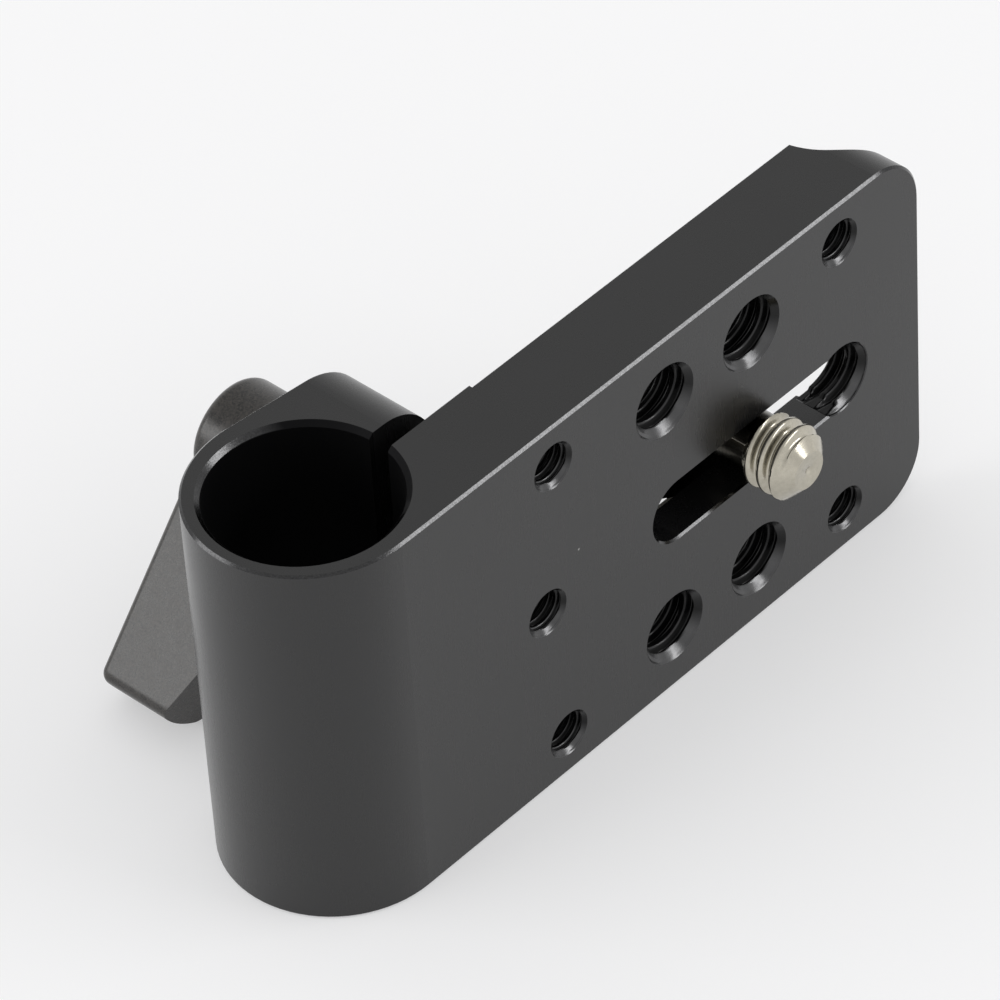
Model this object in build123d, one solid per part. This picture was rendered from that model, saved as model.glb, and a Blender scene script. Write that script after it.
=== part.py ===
"""Rod clamp with a cheese plate, for camera accessories.

A 15 mm rod passes up through the split clamp at one end, and a ratchet lever
closes the clamp. The flat plate beside it carries tapped holes, and a captive
camera screw that slides along a slot, with its head in a channel at the back.

Origin: on the axis of the rod bore, at the bottom face.
+X runs along the plate to its far end, +Y from its front face to the lever,
and +Z up along the rod.
"""
from build123d import *
from math import acos, atan2, cos, hypot, pi, radians, sin, sqrt
import os

# Rod clamp
rod_diameter = 15.0
rod_gap = 0.03
clamp_wall = 1.82
# The ring is thinner on its outer side: its round outside stands off the rod axis
ring_offset_x = 0.42
clamp_height = 35.0
bore_chamfer = 0.4
edge_chamfer = 0.2

# How far a cutting tool runs past the face it cuts through
overrun = 1.0

# Plate beside the clamp
plate_reach = 58.4
plate_thickness = 7.52
plate_corner_radius = 5.0
slit_pad_height = 0.3
slit_pad_reach = 16.2
slit_width = 2.0

# Scallop down the back of the far end
scallop_radius = 6.45
scallop_inset_y = 1.5

# Clamp ear behind the slit
ear_taper_deg = 6.7
ear_flat_reach = 9.0
ear_corner_radius = 5.0
ear_lobe_radius = 6.6

# Accessory holes, tapped right through the plate
small_thread = 4.0
small_hole_first_x = 16.5
small_hole_step_x = 32.55
small_hole_step_z = 27.4
large_thread = 6.35
large_hole_first_x = 28.82
large_hole_step_x = 9.9
large_hole_step_z = 23.2
hole_countersink = 0.08

# Slot for the captive screw, and the channel for its head
slot_start_x = 29.8
slot_end_x = 48.85
slot_width = 5.55
slot_chamfer = 0.17
slot_land = 3.3
channel_side_gap = 0.32

# Captive camera screw
screw_x = 39.35
screw_thread_gap = 0.075
screw_neck_gap = 0.3
screw_neck_length = 6.6
screw_head_diameter = 15.5
screw_head_thickness = 2.0
screw_front_gap = 0.25
screw_thread_length = 4.6
screw_tip_radius = 1.65
screw_tip_length = 0.9
screw_dimple_radius = 0.45
screw_slot_width = 1.6
screw_slot_depth = 0.9
screw_rim_chamfer = 0.3
knurl_count = 40
knurl_depth = 0.35

# Lever axis and its stud
lever_x = 15.0
stud_thread = 4.0
stud_thread_gap = 0.05
ear_hole_gap = 0.25
stud_depth_in_plate = 4.55
stud_end_chamfer = 0.4
washer_radius = 4.5
washer_thickness = 0.8
washer_hole_gap = 0.15
washer_rim_chamfer = 0.16
spot_face_y = 7.2
spot_face_gap = 0.8

# Splined head of the stud
spline_teeth = 16
spline_corners = (0.10, 0.32, 0.68, 0.90)
spline_radius = 3.3
spline_depth = 0.45
spline_gap = 0.06
stud_head_height = 5.2
spline_flange_height = 0.9

# Lever handle
hub_radius = 4.6
hub_base_gap = 0.3
hub_height = 15.3
hub_top_fillet = 0.9
hub_base_chamfer = 0.35
web_thickness = 1.8
spline_engagement = 2.4
lever_angle_deg = 42.5
arm_reach = 22.1
arm_root_half_width = 3.3
arm_tip_half_width = 2.65
arm_tip_bulge = 0.6
arm_root_height = 0.7
arm_tip_height = 8.4
arm_tip_fillet = 1.1

# Retaining screw and return spring in the hub
retainer_thread = 3.0
retainer_thread_gap = 0.05
retainer_depth = 3.6
retainer_head_radius = 2.75
retainer_head_height = 1.7
retainer_head_fillet = 0.55
retainer_socket_radius = 1.0
retainer_socket_depth = 0.9
retainer_web_gap = 0.35
spring_pocket_gap = 0.35
spring_length = 5.0
spring_wire_radius = 0.24
spring_turns = 3.5
spring_wire_sides = 6
spring_end_gap = 0.02

# Worked out from the sizes above
bore_radius = rod_diameter / 2 + rod_gap
clamp_radius = bore_radius + clamp_wall
front_y = -clamp_radius
plate_back_y = front_y + plate_thickness
slit_front_y = plate_back_y + slit_pad_height
slit_back_y = slit_front_y + slit_width
mid_z = clamp_height / 2
slot_radius = slot_width / 2
land_back_y = front_y + slot_land
channel_radius = screw_head_diameter / 2 + channel_side_gap
scallop_y = plate_back_y + scallop_inset_y
reach_past = 2.0 * clamp_radius

small_hole_places = [
    (small_hole_first_x + i * small_hole_step_x, mid_z + k * small_hole_step_z / 2)
    for i in (0, 1)
    for k in (-1, 1)
]
large_hole_places = [
    (large_hole_first_x + i * large_hole_step_x, mid_z + k * large_hole_step_z / 2)
    for i in (0, 1)
    for k in (-1, 1)
]

washer_back_y = spot_face_y + washer_thickness
head_top = washer_back_y + stud_head_height
hub_base = washer_back_y + hub_base_gap
hub_top = hub_base + hub_height
web_top = head_top + web_thickness
retainer_seat = web_top + spring_length
spring_pocket_radius = retainer_head_radius + spring_pocket_gap


def along_y(x, y, z):
    """A frame at (x, y, z) whose own Z axis points along the part's +Y."""
    return Plane(origin=(x, y, z), x_dir=(1, 0, 0), z_dir=(0, 1, 0))


def rod_along_y(x, z, radius, start_y, end_y):
    """A plain round bar along Y."""
    bar = extrude(Circle(radius), end_y - start_y)
    return along_y(x, start_y, z).location * bar


def countersink(x, z, radius, depth):
    """The cone that breaks the mouth of a hole in the front face."""
    cone = Cone(radius + 2 * depth, radius, 2 * depth, align=(Align.CENTER, Align.CENTER, Align.MIN))
    return along_y(x, front_y - depth, z).location * cone


def tangent_points(first, first_radius, second, second_radius):
    """Where the right-hand outer tangent of two circles touches each of them."""
    dx = second[0] - first[0]
    dz = second[1] - first[1]
    turn = acos((first_radius - second_radius) / hypot(dx, dz))
    angle = atan2(dz, dx) + turn
    nx, nz = cos(angle), sin(angle)
    on_first = (first[0] + first_radius * nx, first[1] + first_radius * nz)
    on_second = (second[0] + second_radius * nx, second[1] + second_radius * nz)
    return on_first, on_second


def clamp_section():
    """The section across the rod: split ring, ear and plate."""
    ring = Pos(ring_offset_x, 0) * Circle(clamp_radius)
    plate_middle = ((ring_offset_x + plate_reach) / 2, (front_y + plate_back_y) / 2)
    plate = Pos(*plate_middle) * Rectangle(plate_reach - ring_offset_x, plate_thickness)
    pad_depth = slit_front_y - front_y
    pad_middle = ((ring_offset_x + slit_pad_reach) / 2, front_y + pad_depth / 2)
    pad = Pos(*pad_middle) * Rectangle(slit_pad_reach - ring_offset_x, pad_depth)
    taper = radians(ear_taper_deg)
    ear_end = lever_x + ear_lobe_radius
    touch = (ring_offset_x + clamp_radius * sin(taper), clamp_radius * cos(taper))
    end_y = (clamp_radius - (ear_end - ring_offset_x) * sin(taper)) / cos(taper)
    ear = make_face(Polyline((ring_offset_x, 0), (ear_end, 0), (ear_end, end_y), touch, close=True))
    slit_middle = (slit_front_y + slit_back_y) / 2
    slit = Pos(reach_past / 2, slit_middle) * Rectangle(reach_past, slit_width)
    scallop = Pos(plate_reach, scallop_y) * Circle(scallop_radius)
    section = ring + plate + pad + ear
    return section - slit - Circle(bore_radius) - scallop


def ear_outline():
    """The ear seen from behind: full height at the ring, a round lobe at the lever."""
    corner = (ear_flat_reach, clamp_height - ear_corner_radius)
    lobe = (lever_x, mid_z)
    on_corner, on_lobe = tangent_points(corner, ear_corner_radius, lobe, ear_lobe_radius)
    left = -reach_past
    start = (ear_flat_reach, clamp_height)
    half_turn = atan2(on_corner[1] - corner[1], on_corner[0] - corner[0]) / 2 + pi / 4
    corner_mid = (
        corner[0] + ear_corner_radius * cos(half_turn),
        corner[1] + ear_corner_radius * sin(half_turn),
    )

    def below(point):
        return (point[0], clamp_height - point[1])

    edges = [
        Line((left, clamp_height), start),
        ThreePointArc(start, corner_mid, on_corner),
        Line(on_corner, on_lobe),
        ThreePointArc(on_lobe, (lever_x + ear_lobe_radius, mid_z), below(on_lobe)),
        Line(below(on_lobe), below(on_corner)),
        ThreePointArc(below(on_corner), below(corner_mid), below(start)),
        Line(below(start), (left, 0)),
        Line((left, 0), (left, clamp_height)),
    ]
    return make_face(edges)


def cut_ear_to_outline(body):
    """Take away what stands outside the ear's outline, behind the middle of the slit."""
    cut_from = (slit_front_y + slit_back_y) / 2
    block = Box(2 * reach_past, reach_past, clamp_height, align=(Align.MIN, Align.MIN, Align.MIN))
    block = Pos(0, cut_from, 0) * block
    upright = Plane(origin=(0, cut_from, 0), x_dir=(1, 0, 0), z_dir=(0, -1, 0))
    kept = extrude(upright.location * ear_outline(), -reach_past)
    return body - (block - kept)


def round_far_corners(body):
    """Round the two far corners of the plate, seen from the front."""
    half_length = plate_reach + clamp_radius
    outline = RectangleRounded(2 * half_length, clamp_height, plate_corner_radius)
    outline = Pos(plate_reach - half_length, mid_z) * outline
    upright = Plane(origin=(0, -reach_past, 0), x_dir=(1, 0, 0), z_dir=(0, -1, 0))
    return body & extrude(upright.location * outline, -2 * reach_past)


def slot_tool(radius, start_x, end_x, start_y, end_y):
    """A bar with round ends along X, for the slot and the head channel."""
    length = end_x - start_x
    shape = Pos(start_x + length / 2, 0) * SlotCenterToCenter(length, 2 * radius)
    upright = Plane(origin=(0, start_y, mid_z), x_dir=(1, 0, 0), z_dir=(0, -1, 0))
    return extrude(upright.location * shape, start_y - end_y)


def slot_bevel():
    """The bevel round the front of the slot."""
    wide = slot_radius + slot_chamfer
    length = slot_end_x - slot_start_x
    upright = Plane(origin=(slot_start_x + length / 2, front_y, mid_z), x_dir=(1, 0, 0), z_dir=(0, -1, 0))
    mouth = upright.location * SlotCenterToCenter(length, 2 * wide)
    inner = upright.offset(-slot_chamfer).location * SlotCenterToCenter(length, 2 * slot_radius)
    return loft([mouth, inner])


def bevel_outer_edges(body):
    """Break the outline of the front face, and the rims of the ring and ear."""
    small = 1e-3
    chosen = []
    for edge in body.edges():
        middle = edge @ 0.5
        ends = (edge @ 0, edge @ 1)
        on_front = all(abs(p.Y - front_y) < small for p in (*ends, middle))
        upright = abs(edge.tangent_at(0.5).Z) > 0.99
        if on_front and not (upright and abs(middle.X - ring_offset_x) < small):
            chosen.append(edge)
            continue
        on_rim = all(min(p.Z, clamp_height - p.Z) < small for p in (*ends, middle))
        on_ring = all(on_ring_outside(p) for p in (*ends, middle))
        if on_rim and on_ring:
            chosen.append(edge)
            continue
        back = all(on_ear_back(p) for p in (*ends, middle))
        if back and not (upright and middle.X < ear_flat_reach / 2):
            chosen.append(edge)
    return chamfer(chosen, edge_chamfer)


def on_ring_outside(point):
    """Whether a point lies on the round outside of the ring."""
    return abs(hypot(point.X - ring_offset_x, point.Y) - clamp_radius) < 1e-3


def on_ear_back(point):
    """Whether a point lies on the sloping back face of the ear."""
    taper = radians(ear_taper_deg)
    reach = (point.X - ring_offset_x) * sin(taper) + point.Y * cos(taper)
    return abs(reach - clamp_radius) < 1e-3


def make_clamp_plate():
    body = extrude(clamp_section(), clamp_height)
    body = round_far_corners(body)
    body = cut_ear_to_outline(body)
    body = bevel_outer_edges(body)
    for z, turn in ((clamp_height, 1), (0, -1)):
        mouth = Cone(
            bore_radius,
            bore_radius + 2 * bore_chamfer,
            2 * bore_chamfer,
            align=(Align.CENTER, Align.CENTER, Align.CENTER),
        )
        flip = Rot(180, 0, 0) if turn < 0 else Rot(0, 0, 0)
        body -= Pos(0, 0, z) * flip * mouth
    past_back = plate_back_y + reach_past
    tools = []
    for x, z in small_hole_places:
        tools.append(rod_along_y(x, z, small_thread / 2, front_y - overrun, past_back))
        tools.append(countersink(x, z, small_thread / 2, hole_countersink))
    for x, z in large_hole_places:
        tools.append(rod_along_y(x, z, large_thread / 2, front_y - overrun, past_back))
        tools.append(countersink(x, z, large_thread / 2, hole_countersink))
    tools.append(rod_along_y(slot_end_x, mid_z, large_thread / 2, front_y - overrun, past_back))
    tools.append(countersink(slot_end_x, mid_z, large_thread / 2, hole_countersink))
    tools.append(slot_tool(slot_radius, slot_start_x, slot_end_x, front_y - overrun, land_back_y + overrun))
    tools.append(slot_bevel())
    far_past = plate_reach + 2 * channel_radius
    tools.append(slot_tool(channel_radius, slot_start_x, far_past, land_back_y, past_back))
    stud_hole_radius = stud_thread / 2
    tools.append(rod_along_y(lever_x, mid_z, stud_hole_radius, front_y - overrun, slit_back_y))
    tools.append(countersink(lever_x, mid_z, stud_hole_radius, hole_countersink))
    tools.append(rod_along_y(lever_x, mid_z, stud_thread / 2 + ear_hole_gap, slit_front_y, past_back))
    spot_radius = hub_radius + spot_face_gap
    tools.append(rod_along_y(lever_x, mid_z, spot_radius, spot_face_y, past_back))
    for tool in tools:
        body -= tool
    return body


def make_camera_screw():
    """The captive screw: knurled head, plain neck and a short thread at its nominal size."""
    thread_start = front_y - screw_front_gap
    tip = thread_start - screw_thread_length
    head_front = thread_start + screw_neck_length
    head_back = head_front + screw_head_thickness
    thread_radius = large_thread / 2 - screw_thread_gap
    neck_radius = slot_radius - screw_neck_gap
    head_radius = screw_head_diameter / 2
    bevel = screw_rim_chamfer
    run_out = thread_radius - neck_radius
    profile = Polyline(
        (0, head_back),
        (head_radius - bevel, head_back),
        (head_radius, head_back - bevel),
        (head_radius, head_front + bevel),
        (head_radius - bevel, head_front),
        (neck_radius, head_front),
        (neck_radius, thread_start),
        (thread_radius, thread_start - run_out),
        (thread_radius, tip + screw_tip_length),
        (screw_tip_radius, tip),
        (screw_dimple_radius, tip),
        (0, tip + screw_dimple_radius / 2),
        close=True,
    )
    screw = revolve(make_face(profile), Axis.Y)
    cutter_radius = knurl_depth * sqrt(2)
    groove = Box(cutter_radius, 2 * screw_head_thickness, cutter_radius)
    groove = Pos(head_radius, (head_front + head_back) / 2, 0) * Rot(0, 45, 0) * groove
    grooves = [Rot(0, i * 360 / knurl_count, 0) * groove for i in range(knurl_count)]
    screw -= Compound(grooves)
    slot = Box(2 * screw_head_diameter, 2 * screw_slot_depth, screw_slot_width)
    screw -= Pos(0, head_back, 0) * slot
    return Pos(screw_x, 0, mid_z) * screw


def spline_outline(root_radius, tip_radius):
    """A ring of straight-sided teeth, as a face."""
    step = 2 * pi / spline_teeth
    points = []
    for i in range(spline_teeth):
        for share, radius in zip(spline_corners, (root_radius, tip_radius, tip_radius, root_radius)):
            angle = (i + share - 0.5) * step
            points.append((radius * cos(angle), radius * sin(angle)))
    return make_face(Polyline(*points, close=True))


def place_on_lever(piece):
    """Turn a piece made along +Z, arm along +X, onto the lever's axis."""
    angle = radians(lever_angle_deg)
    frame = Plane(origin=(lever_x, 0, mid_z), x_dir=(-sin(angle), 0, -cos(angle)), z_dir=(0, 1, 0))
    return frame.location * piece


def make_lever_stud():
    """Splined head with a flange, on a threaded shank that screws into the plate."""
    shank_radius = stud_thread / 2 - stud_thread_gap
    end = plate_back_y + slit_pad_height - stud_depth_in_plate
    shank = Pos(0, 0, end) * extrude(Circle(shank_radius), washer_back_y - end)
    shank = chamfer(shank.faces().sort_by(Axis.Z)[0].edges(), stud_end_chamfer)
    flange = Pos(0, 0, washer_back_y) * extrude(Circle(spline_radius), spline_flange_height)
    toothed = extrude(spline_outline(spline_radius - spline_depth, spline_radius), stud_head_height)
    toothed = Pos(0, 0, washer_back_y) * toothed
    tapped_radius = retainer_thread / 2
    tapped = Pos(0, 0, head_top - retainer_depth) * extrude(Circle(tapped_radius), retainer_depth)
    return place_on_lever(shank + flange + toothed - tapped)


def make_thrust_washer():
    ring = Circle(washer_radius) - Circle(stud_thread / 2 + washer_hole_gap)
    washer = extrude(ring, washer_thickness)
    rims = washer.edges().filter_by(GeomType.CIRCLE).sort_by(SortBy.RADIUS)[-2:]
    washer = chamfer(rims, washer_rim_chamfer)
    return place_on_lever(Pos(0, 0, spot_face_y) * washer)


def arm_blank():
    """The arm: its side view crossed with its plan view."""
    top = hub_top
    side = make_face(
        Polyline(
            (0, top),
            (arm_reach, top),
            (arm_reach, hub_base + arm_tip_height),
            (0, hub_base + arm_root_height),
            close=True,
        )
    )
    side = Plane.XZ.location * side
    wide = 2 * (arm_root_half_width + arm_tip_half_width)
    side_solid = extrude(side, wide / 2, both=True)
    tip_x = arm_reach - arm_tip_bulge
    plan = make_face(
        [
            Line((0, arm_root_half_width), (tip_x, arm_tip_half_width)),
            ThreePointArc((tip_x, arm_tip_half_width), (arm_reach, 0), (tip_x, -arm_tip_half_width)),
            Line((tip_x, -arm_tip_half_width), (0, -arm_root_half_width)),
            Line((0, -arm_root_half_width), (0, arm_root_half_width)),
        ]
    )
    return side_solid & (Pos(0, 0, hub_base) * extrude(plan, hub_height))


def make_lever_handle():
    """Die-cast handle: hub with a wedge-shaped arm, bored for the stud, screw and spring."""
    hub = Pos(0, 0, hub_base) * extrude(Circle(hub_radius), hub_height)
    handle = hub + arm_blank()
    tip_corners = [
        edge
        for edge in handle.edges()
        if abs(edge.tangent_at(0.5).Z) > 0.9 and (edge @ 0.5).X > arm_reach - 2 * arm_tip_bulge
    ]
    handle = fillet(tip_corners, arm_tip_fillet)
    top_edges = handle.faces().sort_by(Axis.Z)[-1].edges()
    handle = fillet(top_edges, hub_top_fillet)
    base_edges = handle.faces().sort_by(Axis.Z)[0].edges()
    handle = chamfer(base_edges, hub_base_chamfer)
    clear_radius = spline_radius + spline_gap
    teeth_start = head_top - spline_engagement
    clear_start = hub_base - overrun
    clear_bore = Pos(0, 0, clear_start) * extrude(Circle(clear_radius), teeth_start - clear_start)
    socket = spline_outline(spline_radius - spline_depth + spline_gap, clear_radius)
    toothed_bore = Pos(0, 0, teeth_start) * extrude(socket, spline_engagement)
    web_hole = Pos(0, 0, head_top) * extrude(Circle(retainer_thread / 2 + retainer_web_gap), hub_height)
    pocket = Pos(0, 0, web_top) * extrude(Circle(spring_pocket_radius), hub_height)
    handle = handle - clear_bore - toothed_bore - web_hole - pocket
    return place_on_lever(handle)


def make_lever_screw():
    """Retaining screw: shank into the stud, pan head over the spring."""
    shank_radius = retainer_thread / 2 - retainer_thread_gap
    start = head_top - retainer_depth + retainer_thread_gap
    shank = Pos(0, 0, start) * extrude(Circle(shank_radius), retainer_seat - start)
    head = Pos(0, 0, retainer_seat) * extrude(Circle(retainer_head_radius), retainer_head_height)
    head = fillet(head.faces().sort_by(Axis.Z)[-1].edges(), retainer_head_fillet)
    socket_floor = retainer_seat + retainer_head_height - retainer_socket_depth
    socket = extrude(RegularPolygon(retainer_socket_radius, 6), retainer_head_height)
    socket = Pos(0, 0, socket_floor) * socket
    return place_on_lever(shank + head - socket)


def make_lever_spring():
    """Open coil between the handle's web and the retaining screw's head."""
    wire = spring_wire_radius
    shank_radius = retainer_thread / 2
    coil_radius = (spring_pocket_radius + shank_radius) / 2
    first = web_top + wire + spring_end_gap
    height = spring_length - 2 * (wire + spring_end_gap)
    path = Helix(pitch=height / spring_turns, height=height, radius=coil_radius)
    across = Plane(origin=path @ 0, z_dir=path % 0)
    coil = sweep(across * RegularPolygon(wire, spring_wire_sides), path=path)
    return place_on_lever(Pos(0, 0, first) * coil)


def main():
    os.makedirs("parts", exist_ok=True)
    pieces = {
        "clamp_plate": make_clamp_plate(),
        "camera_screw": make_camera_screw(),
        "lever_stud": make_lever_stud(),
        "thrust_washer": make_thrust_washer(),
        "lever_handle": make_lever_handle(),
        "lever_screw": make_lever_screw(),
        "lever_spring": make_lever_spring(),
    }
    for name, piece in pieces.items():
        piece.label = name
        export_step(piece, f"parts/{name}.step")


main()
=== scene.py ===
"""Looks for a split rod clamp with a cheese plate, a ratchet lever and a captive camera screw.

The solid pieces come in as a fixed frame. Here each of them gets its finish, the tapped
holes get their turns of thread, the camera screw is made again with a real thread, and the
lever's return spring is wound again.
"""

import math

import bmesh
import bpy
from bpy.props import FloatProperty, FloatVectorProperty, IntProperty, PointerProperty
from mathutils import Matrix, Vector


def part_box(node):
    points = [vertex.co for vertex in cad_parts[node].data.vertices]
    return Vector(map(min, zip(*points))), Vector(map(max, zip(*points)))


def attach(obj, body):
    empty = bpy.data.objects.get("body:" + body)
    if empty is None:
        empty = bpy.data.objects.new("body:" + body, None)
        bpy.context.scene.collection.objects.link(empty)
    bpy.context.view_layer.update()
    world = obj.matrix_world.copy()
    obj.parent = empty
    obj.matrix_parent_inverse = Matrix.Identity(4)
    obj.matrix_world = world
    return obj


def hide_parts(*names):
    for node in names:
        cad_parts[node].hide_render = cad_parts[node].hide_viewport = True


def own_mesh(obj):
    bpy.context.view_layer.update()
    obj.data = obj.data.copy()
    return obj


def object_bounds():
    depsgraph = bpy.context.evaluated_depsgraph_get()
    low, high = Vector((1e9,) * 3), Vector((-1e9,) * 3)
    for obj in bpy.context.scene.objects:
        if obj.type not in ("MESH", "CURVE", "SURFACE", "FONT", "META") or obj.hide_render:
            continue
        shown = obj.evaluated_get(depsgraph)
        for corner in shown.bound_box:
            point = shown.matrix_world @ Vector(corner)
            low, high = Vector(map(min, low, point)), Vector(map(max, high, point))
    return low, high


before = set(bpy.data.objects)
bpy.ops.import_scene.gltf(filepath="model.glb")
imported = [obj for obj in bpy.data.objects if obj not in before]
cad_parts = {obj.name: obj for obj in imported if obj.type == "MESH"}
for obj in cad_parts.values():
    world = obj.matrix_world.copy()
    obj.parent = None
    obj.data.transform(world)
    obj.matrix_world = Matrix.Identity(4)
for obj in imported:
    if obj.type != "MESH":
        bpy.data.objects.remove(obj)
CAD_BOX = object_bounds()
PLATE_LOW, PLATE_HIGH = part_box("clamp_plate")
SCREW_LOW, SCREW_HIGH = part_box("camera_screw")
STUD_LOW, STUD_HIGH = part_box("lever_stud")
SPRING_LOW, SPRING_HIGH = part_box("lever_spring")

# Where the plate's finish changes: distances are a little past the bevels and the bore of the
# solid, and a tilt is the share of a surface's direction along one axis, from low to high
FRONT_BEVEL = 0.00021
FRONT_BEVEL_TILT = (-0.88, -0.45)
END_BEVEL = 0.00042
TOP_BEVEL_TILT = (0.55, 0.86)
BOTTOM_BEVEL_TILT = (-0.86, -0.55)
# The bore and the far side of its chamfers get painted shade: a near-black metal finish
BORE_RADIUS = 0.00756
BORE_CHAMFER_RADIUS = 0.00796
BORE_FAR_SIDE = (0.0025, 0.0045)

# The burnished wear at a tapped hole's mouth, kept to the flanks that face the front lamp as a
# painted glint: how deep it fades out, and on which flanks it shows
WEAR_GLINT_DEPTH = (0.0007, 0.0022)
GLINT_FRONT_TILT = (-0.75, -0.45)
GLINT_TOP_TILT = (0.1, 0.5)

BEVEL_POLISH = 0.11
BORE_MATTING = 0.4
DUST_COLOUR = (0.30, 0.30, 0.29)

# Rows of faces in one turn of a thread
ROWS_PER_TURN = 16

# Points of a mesh that are nearer to one another than this are joined
WELD_DISTANCE = 2e-7

# A shift too small to see, which keeps one surface in front of another
SKIN = 0.00001

bl_info = {
    "name": "Rod clamp cheese plate",
    "version": (1, 0, 0),
    "blender": (4, 5, 0),
    "location": "View3D > Sidebar > Rod clamp",
    "description": "Threads, camera screw, metal finishes and a stage for a rod clamp cheese plate",
    "category": "Object",
}


# Sizes and colours that a user would change


class ThreadSizes(bpy.types.PropertyGroup):
    """Tapped holes in the plate."""

    large_radius: FloatProperty(
        name="Large hole radius",
        description="Nominal radius of the camera thread holes",
        default=0.003175,
        unit="LENGTH",
        precision=6,
    )
    large_pitch: FloatProperty(
        name="Large pitch",
        description="Distance between two turns of the camera thread",
        default=0.00127,
        unit="LENGTH",
        precision=6,
    )
    large_height: FloatProperty(
        name="Large ridge height",
        description="How far the camera thread stands in from the hole's wall",
        default=0.0006,
        unit="LENGTH",
        precision=6,
    )
    small_radius: FloatProperty(
        name="Small hole radius",
        description="Nominal radius of the small holes",
        default=0.002,
        unit="LENGTH",
        precision=6,
    )
    small_pitch: FloatProperty(
        name="Small pitch",
        description="Distance between two turns of the small thread",
        default=0.0007,
        unit="LENGTH",
        precision=6,
    )
    small_height: FloatProperty(
        name="Small ridge height",
        description="How far the small thread stands in from the hole's wall",
        default=0.00034,
        unit="LENGTH",
        precision=6,
    )
    countersink: FloatProperty(
        name="Countersink",
        description="Depth of the solid's own cone at the mouth of each hole",
        default=0.00008,
        unit="LENGTH",
        precision=6,
    )
    wall_gap: FloatProperty(
        name="Wall gap",
        description="How far the roots of a thread stay inside the solid hole's wall",
        default=0.00003,
        unit="LENGTH",
        precision=6,
    )


class ScrewSizes(bpy.types.PropertyGroup):
    """The captive camera screw."""

    thread_radius: FloatProperty(
        name="Thread radius",
        description="Outer radius of the thread",
        default=0.0031,
        unit="LENGTH",
        precision=6,
    )
    thread_depth: FloatProperty(
        name="Thread depth",
        description="Depth of the thread's groove",
        default=0.0006,
        unit="LENGTH",
        precision=6,
    )
    thread_length: FloatProperty(
        name="Thread length",
        description="Length of the threaded end",
        default=0.0046,
        unit="LENGTH",
        precision=6,
    )
    neck_radius: FloatProperty(
        name="Neck radius",
        description="Radius of the plain neck in the slot",
        default=0.002475,
        unit="LENGTH",
        precision=6,
    )
    tip_radius: FloatProperty(
        name="Tip radius",
        description="Radius of the flat at the tip",
        default=0.00165,
        unit="LENGTH",
        precision=6,
    )
    tip_length: FloatProperty(
        name="Tip length",
        description="Length of the cone at the tip",
        default=0.00125,
        unit="LENGTH",
        precision=6,
    )
    dimple_radius: FloatProperty(
        name="Dimple radius",
        description="Radius of the turning centre in the tip",
        default=0.00045,
        unit="LENGTH",
        precision=6,
    )
    head_thickness: FloatProperty(
        name="Head thickness",
        description="Thickness of the knurled head",
        default=0.0020,
        unit="LENGTH",
        precision=6,
    )
    rim_bevel: FloatProperty(
        name="Rim bevel",
        description="Bevel at both rims of the head",
        default=0.00015,
        unit="LENGTH",
        precision=6,
    )
    knurl_depth: FloatProperty(
        name="Knurl depth",
        description="Depth of the grooves round the head",
        default=0.00012,
        unit="LENGTH",
        precision=6,
    )
    knurl_count: IntProperty(
        name="Knurl count",
        description="Number of grooves round the head",
        default=40,
    )
    slot_width: FloatProperty(
        name="Driver slot width",
        description="Width of the slot in the back of the head",
        default=0.0016,
        unit="LENGTH",
        precision=6,
    )
    slot_depth: FloatProperty(
        name="Driver slot depth",
        description="Depth of the slot in the back of the head",
        default=0.0009,
        unit="LENGTH",
        precision=6,
    )


class MetalColours(bpy.types.PropertyGroup):
    """Colours of the finishes."""

    anodised: FloatVectorProperty(
        name="Anodised black",
        description="Colour of the plate and the clamp",
        subtype="COLOR",
        size=3,
        default=(0.004, 0.004, 0.0042),
    )
    # Also used, brighter, for the painted glint at the mouths of the tapped holes
    burnished: FloatVectorProperty(
        name="Burnished bevel",
        description="Reflection of the cut bevels, thin with wear",
        subtype="COLOR",
        size=3,
        default=(0.055, 0.055, 0.056),
    )
    powder_dark: FloatVectorProperty(
        name="Powder coat dark",
        description="Darker grains of the lever's coat",
        subtype="COLOR",
        size=3,
        default=(0.004, 0.004, 0.004),
    )
    powder_light: FloatVectorProperty(
        name="Powder coat light",
        description="Lighter grains of the lever's coat",
        subtype="COLOR",
        size=3,
        default=(0.044, 0.039, 0.034),
    )
    plated: FloatVectorProperty(
        name="Plated screw",
        description="Colour of the camera screw",
        subtype="COLOR",
        size=3,
        default=(0.50, 0.47, 0.395),
    )
    steel: FloatVectorProperty(
        name="Plain steel",
        description="Colour of the stud, the washer and the spring",
        subtype="COLOR",
        size=3,
        default=(0.52, 0.52, 0.53),
    )


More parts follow.
